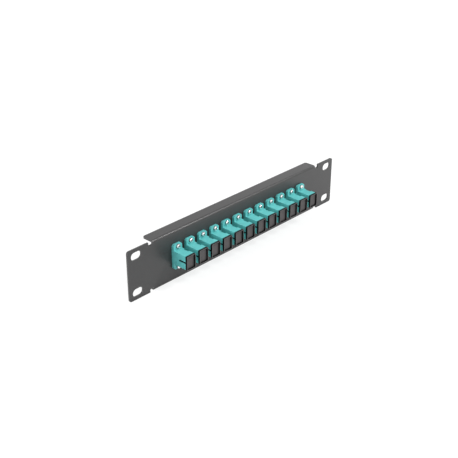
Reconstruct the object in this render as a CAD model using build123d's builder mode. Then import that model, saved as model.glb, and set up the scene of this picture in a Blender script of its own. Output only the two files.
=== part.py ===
from build123d import *
import os

os.makedirs("parts", exist_ok=True)

# Fibre patch panel: a folded 10 inch rack plate that carries a row of flanged simplex adapters,
# each with a dust cap in its front and its rear port.
# Millimetres. The origin is the centre of the plate's front face, on the centre of the rack slots.
# +X is right seen from the front, +Z is up and the front faces -Y.

# Folded plate
panel_width = 254.0
panel_height = 44.0
sheet = 1.5
bend_radius = 2.0
fold_depth = 11.5
fold_corner_radius = 2.0
ear_length = 21.5
ear_corner_radius = 2.0
notch_width = 4.2
notch_depth = 3.0

# Rack slots
slot_inset = 8.75
slot_spacing_z = 31.75
slot_length = 10.5
slot_width = 6.8

# Row of adapters
port_count = 12
port_pitch = 14.1
row_shift = 0.8

# Adapter housing, made of two welded halves
flange_width = 9.3
flange_height = 22.0
flange_thickness = 2.4
flange_chamfer = 1.3
body_width = 9.2
body_height = 12.0
body_reach = 13.0
body_edge_radius = 0.3
port_width = 7.5
port_height = 9.1
port_chamfer = 0.8
key_slot_width = 1.8
key_slot_length = 7.6
clip_start = 2.4
clip_length = 5.8
clip_corner = 1.5
clip_wall = 0.4
cutout_clearance = 0.15

# Seat at the weld that traps the latch holders
seat_margin = 0.45
seat_depth = 1.0

# Latch holder with its barrel and two latch arms
holder_clearance = 0.05
holder_base = 1.6
holder_flange = 0.9
block_width = 4.6
block_reach = 3.2
barrel_radius = 2.0
barrel_lip = 0.8
barrel_lip_radius = 1.35
arm_width = 4.2
arm_outer = 3.7
arm_thickness = 0.6
arm_gap_to_mouth = 4.4
hook_height = 0.65
hook_ramp = 0.9
hook_land = 0.6

# Split alignment sleeve
sleeve_radius = 1.6
sleeve_bore_radius = 1.25
sleeve_length = 11.4
sleeve_slit = 0.5
sleeve_clearance = 0.05

# Dust cap
cap_width = 9.5
cap_height = 12.2
cap_depth = 2.0
cap_corner_radius = 0.5
cap_rim = 0.45
cap_pocket_depth = 1.6
collar_length = 7.0
collar_wall = 0.6
collar_floor = 1.0
collar_clearance = 0.1

# Flange screws and nuts
screw_spacing = 18.0
screw_radius = 1.0
screw_head_radius = 1.95
screw_head_height = 1.5
screw_head_round = 0.9
screw_spare = 0.5
screw_hole_clearance = 0.1
nut_across_flats = 4.0
nut_height = 1.6
nut_clearance = 0.05

# Worked out from the driving dimensions
fold_length = panel_width - 2 * (ear_length + notch_width)
notch_x = panel_width / 2 - ear_length - notch_width / 2
ear_x = (panel_width - ear_length) / 2
slot_spacing_x = panel_width - 2 * slot_inset
flange_half = flange_thickness / 2
front_end = flange_thickness + body_reach
weld_to_mouth = flange_half + body_reach
clip_side_depth = (body_width - port_width) / 2 - clip_wall
clip_corner_depth = (body_height - port_height) / 2 - clip_wall
seat_width = port_width + 2 * seat_margin
seat_height = port_height + 2 * seat_margin
barrel_bore_radius = sleeve_radius + sleeve_clearance
barrel_bore_depth = sleeve_length / 2 + sleeve_clearance
hole_radius = screw_radius + screw_hole_clearance

weld_plane = Plane.XZ.offset(flange_half)
flange_face = Plane.XZ.offset(flange_thickness)
mouth_plane = Plane.XZ.offset(front_end)


# Folded plate with its ears, relief notches, slots and cut-outs
with BuildPart() as faceplate:
    with BuildSketch(Plane.YZ):
        with BuildLine():
            Polyline(
                (0, -panel_height / 2),
                (0, panel_height / 2),
                (fold_depth, panel_height / 2),
                (fold_depth, panel_height / 2 - sheet),
                (sheet, panel_height / 2 - sheet),
                (sheet, sheet - panel_height / 2),
                (fold_depth, sheet - panel_height / 2),
                (fold_depth, -panel_height / 2),
                close=True,
            )
        make_face()
        fillet(vertices().group_by(Axis.X)[0], bend_radius)
        fillet(vertices().filter_by_position(Axis.X, sheet - 0.01, sheet + 0.01), bend_radius - sheet)
    extrude(amount=fold_length / 2, both=True)
    fillet(edges().filter_by(Axis.Z).group_by(Axis.Y)[-1], fold_corner_radius)
    with BuildSketch(Plane.XZ):
        Rectangle(panel_width, panel_height - 2 * bend_radius)
        with Locations((-ear_x, 0), (ear_x, 0)):
            Rectangle(ear_length, panel_height)
        fillet(vertices().group_by(Axis.X)[0] + vertices().group_by(Axis.X)[-1], ear_corner_radius)
        with GridLocations(2 * notch_x, panel_height, 2, 2):
            RectangleRounded(notch_width, 2 * notch_depth, notch_depth - bend_radius, mode=Mode.SUBTRACT)
    extrude(amount=-sheet)
    with BuildSketch(Plane.XZ):
        with GridLocations(slot_spacing_x, slot_spacing_z, 2, 2):
            SlotOverall(slot_length, slot_width)
        with Locations((row_shift, 0)):
            with GridLocations(port_pitch, 0, port_count, 1):
                Rectangle(body_width + 2 * cutout_clearance, body_height + 2 * cutout_clearance)
            with GridLocations(port_pitch, screw_spacing, port_count, 2):
                Circle(hole_radius)
    extrude(amount=-sheet, mode=Mode.SUBTRACT)

faceplate.part.label = "faceplate"
export_step(faceplate.part, "parts/faceplate.step")


# Front half of one adapter housing, standing at X = 0
with BuildPart() as housing_half:
    with BuildSketch(weld_plane):
        Rectangle(flange_width, flange_height)
        chamfer(vertices(), flange_chamfer)
    extrude(amount=flange_half)
    with BuildSketch(flange_face):
        Rectangle(body_width, body_height)
    extrude(amount=body_reach)
    fillet(edges().filter_by(Axis.Y).group_by(SortBy.LENGTH)[-1], body_edge_radius)
    with BuildSketch(weld_plane):
        Rectangle(port_width, port_height)
        chamfer(vertices(), port_chamfer)
    extrude(amount=weld_to_mouth, mode=Mode.SUBTRACT)
    with BuildSketch(weld_plane):
        Rectangle(seat_width, seat_height)
    extrude(amount=seat_depth, mode=Mode.SUBTRACT)
    with BuildSketch(weld_plane):
        with GridLocations(0, screw_spacing, 1, 2):
            Circle(hole_radius)
    extrude(amount=flange_half, mode=Mode.SUBTRACT)
    with BuildSketch(mouth_plane):
        with Locations((-body_width / 2, 0)):
            Rectangle(body_width - port_width, key_slot_width)
    extrude(amount=-key_slot_length, mode=Mode.SUBTRACT)
    with BuildSketch(Plane.XZ.offset(flange_thickness + clip_start)):
        with Locations((body_width / 2, 0)):
            Rectangle(2 * clip_side_depth, body_height)
            with GridLocations(0, body_height, 1, 2):
                Rectangle(2 * clip_corner, 2 * clip_corner_depth)
    extrude(amount=clip_length, mode=Mode.SUBTRACT)


# Latch holder that sits in the front half: base, barrel and two hooked latch arms
with BuildPart() as latch_holder:
    with BuildSketch(weld_plane):
        Rectangle(seat_width - 2 * holder_clearance, seat_height - 2 * holder_clearance)
    extrude(amount=holder_flange)
    with BuildSketch(weld_plane):
        Rectangle(port_width - 2 * holder_clearance, port_height - 2 * holder_clearance)
        chamfer(vertices(), port_chamfer)
    extrude(amount=holder_base)
    with BuildSketch(weld_plane):
        Rectangle(port_width - 2 * holder_clearance, block_width)
    extrude(amount=block_reach)
    with BuildSketch(weld_plane):
        Circle(barrel_radius)
    extrude(amount=barrel_bore_depth + barrel_lip)
    arm_tip = arm_gap_to_mouth - front_end
    arm_root = -flange_half - holder_base / 2
    arm_inner = arm_outer - arm_thickness
    with BuildSketch(Plane.YZ):
        with BuildLine():
            Polyline(
                (arm_root, arm_outer),
                (arm_tip, arm_outer),
                (arm_tip, arm_inner),
                (arm_tip + hook_ramp, arm_inner - hook_height),
                (arm_tip + hook_ramp + hook_land, arm_inner - hook_height),
                (arm_tip + hook_ramp + hook_land, arm_inner),
                (arm_root, arm_inner),
                close=True,
            )
        make_face()
        mirror(about=Plane.XZ)
    extrude(amount=arm_width / 2, both=True)
    with BuildSketch(weld_plane):
        Circle(barrel_bore_radius)
    extrude(amount=barrel_bore_depth, mode=Mode.SUBTRACT)
    with BuildSketch(weld_plane):
        Circle(barrel_lip_radius)
    extrude(amount=barrel_bore_depth + barrel_lip, mode=Mode.SUBTRACT)


# Dust cap of the front port: a rimmed plate with a hollow collar that enters the port
with BuildPart() as dust_cap:
    with BuildSketch(mouth_plane):
        RectangleRounded(cap_width, cap_height, cap_corner_radius)
    extrude(amount=cap_depth)
    with BuildSketch(Plane.XZ.offset(front_end + cap_depth)):
        Rectangle(cap_width - 2 * cap_rim, cap_height - 2 * cap_rim)
    extrude(amount=-cap_pocket_depth, mode=Mode.SUBTRACT)
    with BuildSketch(mouth_plane):
        Rectangle(port_width - 2 * collar_clearance, port_height - 2 * collar_clearance)
        chamfer(vertices(), port_chamfer)
    extrude(amount=-collar_length)
    with BuildSketch(Plane.XZ.offset(front_end - collar_floor)):
        Rectangle(
            port_width - 2 * (collar_clearance + collar_wall),
            port_height - 2 * (collar_clearance + collar_wall),
        )
        chamfer(vertices(), port_chamfer - collar_wall / 2)
    extrude(amount=collar_floor - collar_length, mode=Mode.SUBTRACT)


# Split sleeve across the weld, slit on its upper side
with BuildPart() as split_sleeve:
    with BuildSketch(Plane.XZ.offset(flange_half + sleeve_length / 2)):
        Circle(sleeve_radius)
        Circle(sleeve_bore_radius, mode=Mode.SUBTRACT)
        with Locations((0, sleeve_radius)):
            Rectangle(sleeve_slit, sleeve_radius, mode=Mode.SUBTRACT)
    extrude(amount=-sleeve_length)


# Pan-head screw through the flange and the plate, and the hexagon nut behind the plate
with BuildPart() as flange_screw:
    with BuildSketch(flange_face):
        Circle(screw_head_radius)
    extrude(amount=screw_head_height)
    fillet(edges().group_by(Axis.Y)[0], screw_head_round)
    with BuildSketch(flange_face):
        Circle(screw_radius)
    extrude(amount=-(flange_thickness + sheet + nut_height + screw_spare))

with BuildPart() as flange_nut:
    with BuildSketch(Plane.XZ.offset(-sheet)):
        RegularPolygon(nut_across_flats / 2, 6, major_radius=False)
        Circle(screw_radius + nut_clearance, mode=Mode.SUBTRACT)
    extrude(amount=-nut_height)


def port_x(index):
    return row_shift + (index - (port_count - 1) / 2) * port_pitch


# One housing half and one cap in each port, front and rear
for index in range(port_count):
    for side in ("front", "rear"):
        for name, shape in (("housing", housing_half), ("cap", dust_cap)):
            label = f"{name}_{side}_{index + 1:02d}"
            with BuildPart() as placed:
                with Locations((port_x(index), 0, 0)):
                    add(shape.part)
                if side == "rear":
                    mirror(about=weld_plane, mode=Mode.REPLACE)
            placed.part.label = label
            export_step(placed.part, f"parts/{label}.step")


# The small pieces that repeat, one node for each kind
for label, side in (("latch_holders_front", "front"), ("latch_holders_rear", "rear")):
    with BuildPart() as holders:
        with Locations(*[(port_x(index), 0, 0) for index in range(port_count)]):
            add(latch_holder.part)
        if side == "rear":
            mirror(about=weld_plane, mode=Mode.REPLACE)
    holders.part.label = label
    export_step(holders.part, f"parts/{label}.step")

with BuildPart() as split_sleeves:
    with Locations(*[(port_x(index), 0, 0) for index in range(port_count)]):
        add(split_sleeve.part)
split_sleeves.part.label = "split_sleeves"
export_step(split_sleeves.part, "parts/split_sleeves.step")

for label, shape in (("flange_screws", flange_screw), ("flange_nuts", flange_nut)):
    with BuildPart() as fasteners:
        for height in (-screw_spacing / 2, screw_spacing / 2):
            with Locations(*[(port_x(index), 0, height) for index in range(port_count)]):
                add(shape.part)
    fasteners.part.label = label
    export_step(fasteners.part, f"parts/{label}.step")
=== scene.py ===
import math

import bmesh
import bpy
from mathutils import Matrix, Vector


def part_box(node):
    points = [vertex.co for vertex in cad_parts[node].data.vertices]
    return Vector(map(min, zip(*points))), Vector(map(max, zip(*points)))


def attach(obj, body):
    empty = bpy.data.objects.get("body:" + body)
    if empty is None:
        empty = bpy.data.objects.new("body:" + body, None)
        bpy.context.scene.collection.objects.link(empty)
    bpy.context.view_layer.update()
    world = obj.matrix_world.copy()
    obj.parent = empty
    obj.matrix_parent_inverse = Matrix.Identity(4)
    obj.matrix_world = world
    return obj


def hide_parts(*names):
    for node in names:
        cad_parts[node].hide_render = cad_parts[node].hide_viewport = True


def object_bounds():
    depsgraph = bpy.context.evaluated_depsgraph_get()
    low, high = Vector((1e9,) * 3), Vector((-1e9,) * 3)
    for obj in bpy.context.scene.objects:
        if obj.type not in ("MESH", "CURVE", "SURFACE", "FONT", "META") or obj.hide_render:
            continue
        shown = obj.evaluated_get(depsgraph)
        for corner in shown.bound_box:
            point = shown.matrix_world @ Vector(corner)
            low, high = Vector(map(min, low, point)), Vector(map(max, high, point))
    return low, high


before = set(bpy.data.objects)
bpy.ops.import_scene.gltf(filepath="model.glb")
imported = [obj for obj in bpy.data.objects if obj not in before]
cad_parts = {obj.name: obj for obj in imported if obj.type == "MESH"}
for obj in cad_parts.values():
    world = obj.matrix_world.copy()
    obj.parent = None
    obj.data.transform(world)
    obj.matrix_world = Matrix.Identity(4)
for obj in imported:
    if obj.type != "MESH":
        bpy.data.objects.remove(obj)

cad_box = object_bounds()

# Everything is in metres, in the part's own frame: +X to the right seen from the front, +Z up, front to -Y.
PANEL = "panel"
SIDES = ("front", "rear")
PORT_NUMBERS = sorted(name[-2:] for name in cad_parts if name.startswith("housing_front_"))

# Camera of the photograph: a pinhole fitted to the plate's edges and slots
CAMERA_AZIMUTH = -47.19
CAMERA_ELEVATION = 26.92
CAMERA_EYE = (-0.50132, -0.45061, 0.33684)
CAMERA_CLIP_START = 0.01
SENSOR_WIDTH = 36.0
IMAGE_WIDTH_PX = 458
FOCAL_PX = 884.2

# Caps: how far from the weld of an adapter their pocket floor's colour gives way to their rim's paler colour, a
# painted highlight
ADAPTER_MIDDLE = -0.0012
CAP_RIM_FROM = 0.0158
CAP_RIM_TO = 0.0160

# Screws: head, shaft, crossed drive recess and threaded tip
HEAD_RADIUS = 0.00195
HEAD_HEIGHT = 0.0015
HEAD_ROUND = 0.0009
HEAD_ROUND_STEPS = 6
SHAFT_RADIUS = 0.001
SCREW_SEGMENTS = 40
RECESS_ARM = 0.0020
RECESS_WIDTH = 0.0005
RECESS_DEPTH = 0.0008
RECESS_TAPER = 0.55
RECESS_FLARE = 1.1
RECESS_RISE = 0.0002
THREAD_PITCH = 0.0004
THREAD_DEPTH = 0.00018
THREAD_LENGTH = 0.0022
THREAD_STEPS = 24
THREAD_ROWS_PER_PITCH = 6

# Degrees that the drive recesses are turned by: at the first port, from port to port, and from middle to end
FIRST_TURN = 17
PORT_TURN = 67
END_TURN = 41

# Nuts
NUT_ACROSS_FLATS = 0.004
NUT_BORE = 0.00105
NUT_CHAMFER = 0.0003
NUT_SINK = 0.00015
NUT_SEGMENTS = 48

SMOOTH_BELOW = math.radians(35)

# Colours
COAT = (0.0355, 0.035, 0.0355)
COAT_RUBBED = (0.065, 0.065, 0.067)
AQUA = (0.116, 0.50, 0.496)
AQUA_INNER = (0.108, 0.47, 0.466)
# Caps: floor and rim colours go on faces that look along Y; the paler rim is a painted highlight and the wall
# colour is painted shade
CAP_FLOOR = (0.088, 0.083, 0.084)
CAP_RIM_HIGHLIGHT = (0.150, 0.145, 0.145)
CAP_WALL_SHADE = (0.004, 0.004, 0.0045)
CAP_EDGE = (0.08, 0.08, 0.08)
NICKEL = (0.84, 0.825, 0.82)
CERAMIC = (0.83, 0.81, 0.75)
WHITE = (1.0, 1.0, 1.0)

# Paper floor: how pale it looks, how pale the light is that it throws back, and its glow near the part and away
FLOOR_REACH = 6.0
FLOOR_PALE_SEEN = 0.22
FLOOR_PALE_LIT = 0.55
FLOOR_GLOW_NEAR = 0.8
FLOOR_GLOW_AWAY = 1.0
FLOOR_NEAR = 0.2
FLOOR_AWAY = 0.6

# Even light from all round, and lamps that look at the origin: place, width and power in watts
WORLD_STRENGTH = 0.18
LAMPS = {
    "key": ((0.62, -0.63, 0.85), 0.2, 9.0),
    "front": ((-0.28, -1.07, 0.69), 1.0, 8.0),
    "left": ((-1.26, 0.32, 0.28), 0.9, 14.0),
    "right": ((1.25, 0.30, 0.25), 0.6, 4.0),
    "rear": ((-0.33, 1.22, 0.25), 0.6, 19.0),
    "overhead": ((-0.30, 0.0, 1.26), 0.8, 4.0),
}


def node(tree, kind, inputs=None, **settings):
    """A shader node with its settings, and its inputs given as numbers or as sockets to link."""
    made = tree.nodes.new(kind)
    for key, value in settings.items():
        setattr(made, key, value)
    for key, value in (inputs or {}).items():
        if isinstance(value, bpy.types.NodeSocket):
            tree.links.new(value, made.inputs[key])
        else:
            made.inputs[key].default_value = value
    return made


def new_material(name):
    """An empty node material and its tree."""
    material = bpy.data.materials.new(name)
    material.use_nodes = True
    material.node_tree.nodes.clear()
    return material, material.node_tree


def to_output(tree, shader, kind="ShaderNodeOutputMaterial"):
    """Links a shader node to a new output node."""
    output = tree.nodes.new(kind)
    tree.links.new(shader.outputs[0], output.inputs["Surface"])


def noise(tree, scale, detail=2.0, roughness=0.5, stretch=None):
    """Noise over the part's own coordinates. scale counts waves per metre."""
    place = node(tree, "ShaderNodeTexCoord").outputs["Object"]
    if stretch:
        place = node(tree, "ShaderNodeMapping", {"Vector": place, "Scale": stretch}).outputs["Vector"]
    inputs = {"Vector": place, "Scale": scale, "Detail": detail, "Roughness": roughness}
    return node(tree, "ShaderNodeTexNoise", inputs).outputs["Fac"]


def spread(tree, value, low, high, start=0.25, end=0.75):
    """A value between start and end, as a noise's mostly is, brought to low to high."""
    inputs = {"Value": value, "From Min": start, "From Max": end, "To Min": low, "To Max": high}
    return node(tree, "ShaderNodeMapRange", inputs).outputs["Result"]


def between(tree, share, low, high):
    """low where the share is 0, and high where it is 1."""
    return spread(tree, share, low, high, 0.0, 1.0)


def math_node(tree, operation, a, b=0.0):
    return node(tree, "ShaderNodeMath", {0: a, 1: b}, operation=operation).outputs["Value"]


def product(tree, first, *others):
    for other in others:
        first = math_node(tree, "MULTIPLY", first, other)
    return first


def tint(tree, colour, factor):
    """A colour made lighter or darker by a factor."""
    scaled = node(tree, "ShaderNodeVectorMath", {0: colour, 3: factor}, operation="SCALE")
    return scaled.outputs["Vector"]


def mix_colour(tree, share, a, b):
    """Colour a where the share is 0, and b where it is 1. Each is a colour or a socket."""
    a, b = (value if isinstance(value, bpy.types.NodeSocket) else (*value, 1.0) for value in (a, b))
    return node(tree, "ShaderNodeMix", {0: share, 6: a, 7: b}, data_type="RGBA").outputs[2]


def bumps(tree, layers, radius):
    """Bump from several heights over an edge-rounding normal. layers are (height, distance in metres)."""
    normal = node(tree, "ShaderNodeBevel", {"Radius": radius}, samples=6).outputs["Normal"]
    for height, distance in layers:
        inputs = {"Strength": 1.0, "Distance": distance, "Height": height, "Normal": normal}
        normal = node(tree, "ShaderNodeBump", inputs).outputs["Normal"]
    return normal


def edge_mask(tree, radius):
    """1 on an outer edge, falling to 0 at the given distance from it."""
    rounded = node(tree, "ShaderNodeBevel", {"Radius": radius}, samples=6).outputs["Normal"]
    flat = node(tree, "ShaderNodeNewGeometry").outputs["Normal"]
    dot = node(tree, "ShaderNodeVectorMath", {0: rounded, 1: flat}, operation="DOT_PRODUCT").outputs["Value"]
    return spread(tree, dot, 1.0, 0.0, start=0.75, end=0.995)


def painted_hollow_shade(tree, distance, darkest, within_piece):
    """Painted shade: darkest in a corner or beside a wall, rising to 1 on open faces at the given distance."""
    seen = node(tree, "ShaderNodeAmbientOcclusion", {"Distance": distance}, samples=8, only_local=within_piece)
    return spread(tree, seen.outputs["AO"], darkest, 1.0, start=0.45, end=0.95)


def facing_ends(tree, start, end):
    """1 on faces that look along Y, and 0 on those that turn away from it."""
    normal = node(tree, "ShaderNodeNewGeometry").outputs["Normal"]
    along = node(tree, "ShaderNodeSeparateXYZ", {"Vector": normal}).outputs["Y"]
    return spread(tree, math_node(tree, "ABSOLUTE", along), 0.0, 1.0, start, end)


def powder_coat():
    """Dark grey fine-texture powder coat, a little rubbed along its edges, with painted shade in its corners
    and beside other parts.
    """
    material, tree = new_material("powder_coat")
    grain = noise(tree, scale=1900.0, detail=3.0, roughness=0.6)
    cloud = noise(tree, scale=28.0)
    peel = noise(tree, scale=700.0)
    wear = noise(tree, scale=160.0)
    # Painted shade: the coat darkens in its corners and near other parts
    painted_shade = painted_hollow_shade(tree, distance=0.005, darkest=0.5, within_piece=False)
    shade = product(tree, spread(tree, grain, 0.86, 1.14), spread(tree, cloud, 0.95, 1.05), painted_shade)
    rubbed = product(tree, edge_mask(tree, radius=0.0005), spread(tree, wear, 0.15, 0.7))
    to_output(tree, node(tree, "ShaderNodeBsdfPrincipled", {
        "Base Color": mix_colour(tree, rubbed, tint(tree, COAT, shade), COAT_RUBBED),
        "Roughness": spread(tree, grain, 0.32, 0.40),
        "Specular IOR Level": 0.38,
        "Normal": bumps(tree, ((peel, 0.000014), (grain, 0.00001)), radius=0.00025),
    }))
    return material


def moulded_plastic(name, colour, roughness, flow_depth):
    """Satin moulded plastic with fine texture, faint flow marks and paler edges."""
    material, tree = new_material(name)
    fine = noise(tree, scale=2600.0)
    flow = noise(tree, scale=90.0, stretch=(1.0, 0.25, 1.0))
    shade = product(tree, spread(tree, fine, 0.96, 1.04), spread(tree, flow, 0.95, 1.05))
    edge = product(tree, edge_mask(tree, radius=0.0003), 0.5)
    paler = tuple(min(1.0, 1.18 * c + 0.01) for c in colour)
    to_output(tree, node(tree, "ShaderNodeBsdfPrincipled", {
        "Base Color": mix_colour(tree, edge, tint(tree, colour, shade), paler),
        "Roughness": spread(tree, flow, roughness - 0.05, roughness + 0.06),
        "Specular IOR Level": 0.4,
        "Normal": bumps(tree, ((flow, flow_depth), (fine, 0.000006)), radius=0.00018),
    }))
    return material


def cap_plastic():
    """Black moulded plastic: smooth walls painted near-black as shade, a paler rim painted as a highlight, and
    a matt pocket floor with painted shade at its border.
    """
    material, tree = new_material("cap_plastic")
    # Faces that look along Y take the floor and rim colours; the rest take the painted wall shade
    facing = facing_ends(tree, 0.85, 0.97)
    place = node(tree, "ShaderNodeTexCoord").outputs["Object"]
    along = node(tree, "ShaderNodeSeparateXYZ", {"Vector": place}).outputs["Y"]
    from_middle = math_node(tree, "ABSOLUTE", math_node(tree, "SUBTRACT", along, ADAPTER_MIDDLE))
    # Painted highlight: the rim is painted paler than the pocket floor
    rim_highlight = spread(tree, from_middle, 0.0, 1.0, CAP_RIM_FROM, CAP_RIM_TO)
    grain = noise(tree, scale=3200.0, detail=3.0, roughness=0.6)
    cloud = noise(tree, scale=260.0)
    # Painted shade: the pocket floor darkens beside its walls
    painted_shade = painted_hollow_shade(tree, distance=0.0014, darkest=0.2, within_piece=True)
    shade = product(tree, spread(tree, grain, 0.82, 1.18), spread(tree, cloud, 0.94, 1.06), painted_shade)
    edge = product(tree, edge_mask(tree, radius=0.0002), 0.3)
    face = mix_colour(tree, edge, tint(tree, mix_colour(tree, rim_highlight, CAP_FLOOR, CAP_RIM_HIGHLIGHT), shade), CAP_EDGE)
    # Painted shade: the walls, which turn away from Y, are painted near-black
    wall_shade = tint(tree, CAP_WALL_SHADE, spread(tree, cloud, 0.85, 1.15))
    to_output(tree, node(tree, "ShaderNodeBsdfPrincipled", {
        "Base Color": mix_colour(tree, facing, wall_shade, face),
        "Roughness": between(tree, facing, 0.45, 0.62),
        "Specular IOR Level": 0.18,
        "Normal": bumps(tree, ((cloud, 0.00001), (grain, 0.000008)), radius=0.00012),
    }))
    return material


def plated_steel():
    """Bright nickel plating with fine turning marks, a few dull spots, and painted shade down its sides that
    dims their reflections.
    """
    material, tree = new_material("plated_steel")
    marks = noise(tree, scale=2200.0, stretch=(1.0, 6.0, 1.0))
    spots = noise(tree, scale=900.0, detail=3.0)
    # Painted shade: faces that turn away from Y are darkened, dimming their reflections
    side_shade = between(tree, facing_ends(tree, 0.4, 0.92), 0.38, 1.0)
    to_output(tree, node(tree, "ShaderNodeBsdfPrincipled", {
        "Base Color": tint(tree, NICKEL, product(tree, spread(tree, spots, 0.9, 1.05), side_shade)),
        "Metallic": 1.0,
        "Roughness": spread(tree, spots, 0.14, 0.26),
        "Normal": bumps(tree, ((marks, 0.000004),), radius=0.0001),
    }))
    return material


def zirconia():
    """Polished off-white ceramic."""
    material, tree = new_material("zirconia")
    cloud = noise(tree, scale=500.0)
    to_output(tree, node(tree, "ShaderNodeBsdfPrincipled", {
        "Base Color": tint(tree, CERAMIC, spread(tree, cloud, 0.96, 1.03)),
        "Roughness": spread(tree, cloud, 0.10, 0.18),
        "Coat Weight": 0.3,
        "Normal": bumps(tree, ((cloud, 0.000002),), radius=0.00005),
    }))
    return material


def assign(name, material):
    """Gives a carried-over CAD node its material."""
    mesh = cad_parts[name].data
    mesh.materials.clear()
    mesh.materials.append(material)


def as_mesh(made, name):
    mesh = bpy.data.meshes.new(name)
    made.to_mesh(mesh)
    made.free()
    return mesh


def as_object(made, name):
    piece = bpy.data.objects.new(name, as_mesh(made, name))
    bpy.context.scene.collection.objects.link(piece)
    return piece


def ring(made, count, radius_at, y):
    """A ring of points about Y, whose radius may change with the turn."""
    turns = [2 * math.pi * k / count for k in range(count)]
    return [made.verts.new((radius_at(t) * math.cos(t), y, radius_at(t) * math.sin(t))) for t in turns]


def join_rings(made, pairs):
    """Faces between pairs of rings. A ring of a single point is a tip."""
    for low, high in pairs:
        count = max(len(low), len(high))
        for k in range(count):
            following = (k + 1) % count
            loop = [low[k % len(low)], low[following % len(low)],
                    high[following % len(high)], high[k % len(high)]]
            corners = list(dict.fromkeys(loop))
            if len(corners) > 2:
                made.faces.new(corners)


def lathe(profile, segments):
    """A closed turned solid about Y from (radius, y) points, the first and last on the axis."""
    made = bmesh.new()
    rings = [ring(made, segments if radius else 1, lambda t: radius, y) for radius, y in profile]
    join_rings(made, zip(rings, rings[1:]))
    bmesh.ops.recalc_face_normals(made, faces=made.faces)
    return made


def recess_cutter(top):
    """Two crossed wedges that narrow towards the bottom of the drive recess."""
    made = bmesh.new()
    for quarter in (0.0, math.pi / 2):
        corners = []
        for y, share in ((top - RECESS_RISE, RECESS_FLARE), (top + RECESS_DEPTH, RECESS_TAPER)):
            half_arm = RECESS_ARM / 2 * share
            half_width = RECESS_WIDTH / 2 * share
            for x, z in ((-1, -1), (1, -1), (1, 1), (-1, 1)):
                point = Matrix.Rotation(quarter, 3, "Y") @ Vector((x * half_arm, y, z * half_width))
                corners.append(made.verts.new(point))
        for loop in ((0, 1, 2, 3), (7, 6, 5, 4), (0, 4, 5, 1), (1, 5, 6, 2), (2, 6, 7, 3), (3, 7, 4, 0)):
            made.faces.new([corners[k] for k in loop])
    bmesh.ops.recalc_face_normals(made, faces=made.faces)
    return made


def thread(start, end, radius):
    """A helical thread about Y, from start to end: a tube whose radius follows a wave along the helix."""
    made = bmesh.new()
    rows = max(2, round((end - start) / THREAD_PITCH * THREAD_ROWS_PER_PITCH))
    rings = []
    for row in range(rows + 1):
        y = start + (end - start) * row / rows
        fade = min(1.0, (end - y) / THREAD_PITCH)

        def reach(turn):
            wave = abs((y / THREAD_PITCH - turn / (2 * math.pi)) % 1.0 - 0.5) * 2
            return radius - THREAD_DEPTH * (wave * fade + 1.0 - fade)

        rings.append(ring(made, THREAD_STEPS, reach, y))
    join_rings(made, zip(rings, rings[1:]))
    made.faces.new(rings[0])
    made.faces.new(rings[-1])
    bmesh.ops.recalc_face_normals(made, faces=made.faces)
    return made


def nut_form(front, back):
    """A hexagon nut about Y whose corners are turned to a cone at both ends, with a countersunk bore."""
    made = bmesh.new()
    flat = NUT_ACROSS_FLATS / 2
    sink = NUT_BORE + NUT_SINK
    # Each row: place along Y, and the radius that a turning cut leaves of the hexagon there
    rows = ((front, sink), (front, flat), (front + NUT_CHAMFER, math.inf), (back - NUT_CHAMFER, math.inf),
            (back, flat), (back, sink), (back - NUT_SINK, NUT_BORE), (front + NUT_SINK, NUT_BORE))
    rings = []
    for y, limit in rows:

        def reach(turn):
            return min(limit, flat / math.cos(turn % (math.pi / 3) - math.pi / 6))

        rings.append(ring(made, NUT_SEGMENTS, reach, y))
    join_rings(made, zip(rings, rings[1:] + rings[:1]))
    bmesh.ops.recalc_face_normals(made, faces=made.faces)
    return made


def screw_form(head_top, tip):
    """One pan-head screw along Y, with a crossed drive recess and a threaded tip."""
    flat_radius = HEAD_RADIUS - HEAD_ROUND
    head_seat = head_top + HEAD_HEIGHT
    thread_start = tip - THREAD_LENGTH
    profile = [(0.0, head_top), (flat_radius, head_top)]
    for k in range(1, HEAD_ROUND_STEPS + 1):
        angle = math.pi / 2 * k / HEAD_ROUND_STEPS
        drop = HEAD_ROUND * (1 - math.cos(angle))
        profile.append((flat_radius + HEAD_ROUND * math.sin(angle), head_top + drop))
    profile += [(HEAD_RADIUS, head_seat), (SHAFT_RADIUS, head_seat)]
    profile += [(SHAFT_RADIUS, thread_start), (0.0, thread_start)]
    screw = as_object(lathe(profile, SCREW_SEGMENTS), "screw_blank")
    cutter = as_object(recess_cutter(head_top), "screw_cutter")
    cut = screw.modifiers.new("recess", "BOOLEAN")
    cut.operation = "DIFFERENCE"
    cut.solver = "EXACT"
    cut.use_self = True
    cut.object = cutter
    evaluated = screw.evaluated_get(bpy.context.evaluated_depsgraph_get())
    head = bpy.data.meshes.new_from_object(evaluated)
    for piece in (screw, cutter):
        bpy.data.objects.remove(piece)
    whole = thread(thread_start - THREAD_PITCH / 4, tip, SHAFT_RADIUS)
    whole.from_mesh(head)
    return whole


def at_the_flanges(form, name, replaced, height, material, turned):
    """Copies of a form at both ends of every flange, in place of a node's CAD solids."""
    mesh = as_mesh(form, name + "_form")
    made = bmesh.new()
    for k, number in enumerate(PORT_NUMBERS):
        left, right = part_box(f"housing_front_{number}")
        for side in (-1, 1):
            before = len(made.verts)
            made.from_mesh(mesh)
            made.verts.ensure_lookup_table()
            angle = math.radians(FIRST_TURN + PORT_TURN * k + END_TURN * side) if turned else 0.0
            move = Matrix.Translation(((left[0] + right[0]) / 2, 0, side * height))
            bmesh.ops.transform(made, matrix=move @ Matrix.Rotation(angle, 4, "Y"), verts=made.verts[before:])
    bpy.data.meshes.remove(mesh)
    piece = as_object(made, name)
    piece.data.materials.append(material)
    for face in piece.data.polygons:
        face.use_smooth = True
    piece.data.set_sharp_from_angle(angle=SMOOTH_BELOW)
    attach(piece, PANEL)
    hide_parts(replaced)


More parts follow.
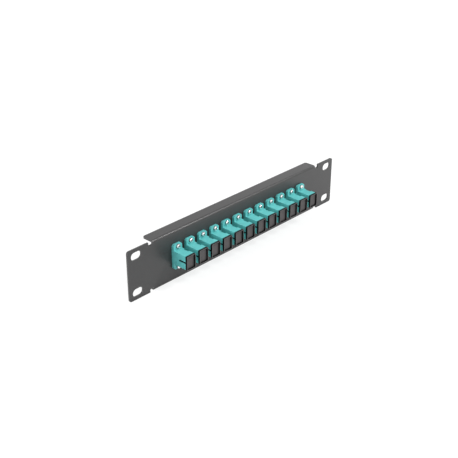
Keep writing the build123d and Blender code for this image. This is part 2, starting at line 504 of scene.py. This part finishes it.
def fasteners(material):
    """The flange screws and their nuts, at the places of their CAD solids."""
    low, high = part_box("flange_screws")
    screw = screw_form(low[1], high[1])
    at_the_flanges(screw, "drive_screws", "flange_screws", high[2] - HEAD_RADIUS, material, True)
    low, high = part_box("flange_nuts")
    nut = nut_form(low[1], high[1])
    at_the_flanges(nut, "hexagon_nuts", "flange_nuts", high[2] - NUT_ACROSS_FLATS / 2, material, False)


def area_light(name, place, size, power):
    """A round soft lamp that looks at the origin."""
    lamp = bpy.data.lights.new(name, "AREA")
    lamp.shape = "DISK"
    lamp.size = size
    lamp.energy = power
    holder = bpy.data.objects.new(name, lamp)
    holder.location = place
    holder.rotation_euler = (-Vector(place)).to_track_quat("-Z", "Y").to_euler()
    bpy.context.scene.collection.objects.link(holder)


def world_light(strength):
    """Even studio light, and plain white where the camera or a glossy surface sees past the floor."""
    world = bpy.data.worlds.new("studio")
    bpy.context.scene.world = world
    world.use_nodes = True
    tree = world.node_tree
    tree.nodes.clear()
    rays = node(tree, "ShaderNodeLightPath").outputs
    seen = math_node(tree, "MAXIMUM", rays["Is Camera Ray"], rays["Is Transmission Ray"])
    level = between(tree, math_node(tree, "MAXIMUM", seen, rays["Is Glossy Ray"]), strength, 1.0)
    shader = node(tree, "ShaderNodeBackground", {"Color": (*WHITE, 1.0), "Strength": level})
    to_output(tree, shader, "ShaderNodeOutputWorld")


def floor_material():
    """Pale paper that keeps the object's shadow."""
    material, tree = new_material("paper_floor")
    rays = node(tree, "ShaderNodeLightPath").outputs
    grain = noise(tree, scale=300.0)
    share = between(tree, rays["Is Camera Ray"], FLOOR_PALE_LIT, FLOOR_PALE_SEEN)
    pale = tint(tree, WHITE, product(tree, share, spread(tree, grain, 0.99, 1.01)))
    paper = node(tree, "ShaderNodeBsdfDiffuse", {"Color": pale})
    place = node(tree, "ShaderNodeTexCoord").outputs["Object"]
    away = node(tree, "ShaderNodeVectorMath", {0: place}, operation="LENGTH").outputs["Value"]
    seen = math_node(tree, "MAXIMUM", rays["Is Camera Ray"], rays["Is Glossy Ray"])
    level = product(tree, seen, spread(tree, away, FLOOR_GLOW_NEAR, FLOOR_GLOW_AWAY, FLOOR_NEAR, FLOOR_AWAY))
    glow = node(tree, "ShaderNodeEmission", {"Color": (*WHITE, 1.0), "Strength": level})
    to_output(tree, node(tree, "ShaderNodeAddShader", {0: paper.outputs[0], 1: glow.outputs[0]}))
    return material


def floor(height):
    made = bmesh.new()
    bmesh.ops.create_grid(made, x_segments=1, y_segments=1, size=FLOOR_REACH)
    piece = as_object(made, "floor")
    piece.location = (0, 0, height)
    piece.data.materials.append(floor_material())


def camera():
    lens = bpy.data.cameras.new("camera")
    lens.sensor_width = SENSOR_WIDTH
    lens.lens = SENSOR_WIDTH * FOCAL_PX / IMAGE_WIDTH_PX
    lens.clip_start = CAMERA_CLIP_START
    turn, lift = math.radians(CAMERA_AZIMUTH), math.radians(CAMERA_ELEVATION)
    back = Vector((math.sin(turn) * math.cos(lift), -math.cos(turn) * math.cos(lift), math.sin(lift)))
    holder = bpy.data.objects.new("camera", lens)
    holder.location = CAMERA_EYE
    holder.rotation_euler = back.to_track_quat("Z", "Y").to_euler()
    bpy.context.scene.collection.objects.link(holder)
    bpy.context.scene.camera = holder


# Finishes
plate_coat = powder_coat()
aqua = moulded_plastic("aqua_plastic", AQUA, roughness=0.42, flow_depth=0.000012)
aqua_inner = moulded_plastic("aqua_inner_plastic", AQUA_INNER, roughness=0.38, flow_depth=0.000008)
black = cap_plastic()
steel = plated_steel()
ceramic = zirconia()

assign("faceplate", plate_coat)
assign("split_sleeves", ceramic)
for side in SIDES:
    assign(f"latch_holders_{side}", aqua_inner)
    for number in PORT_NUMBERS:
        assign(f"housing_{side}_{number}", aqua)
        assign(f"cap_{side}_{number}", black)
for name in ("flange_screws", "flange_nuts"):
    assign(name, steel)
fasteners(steel)

# Stage, light and camera
floor(cad_box[0][2])
world_light(WORLD_STRENGTH)
for name, (place, size, power) in LAMPS.items():
    area_light(name, place, size, power)
camera()
bpy.context.scene.view_settings.view_transform = "Standard"
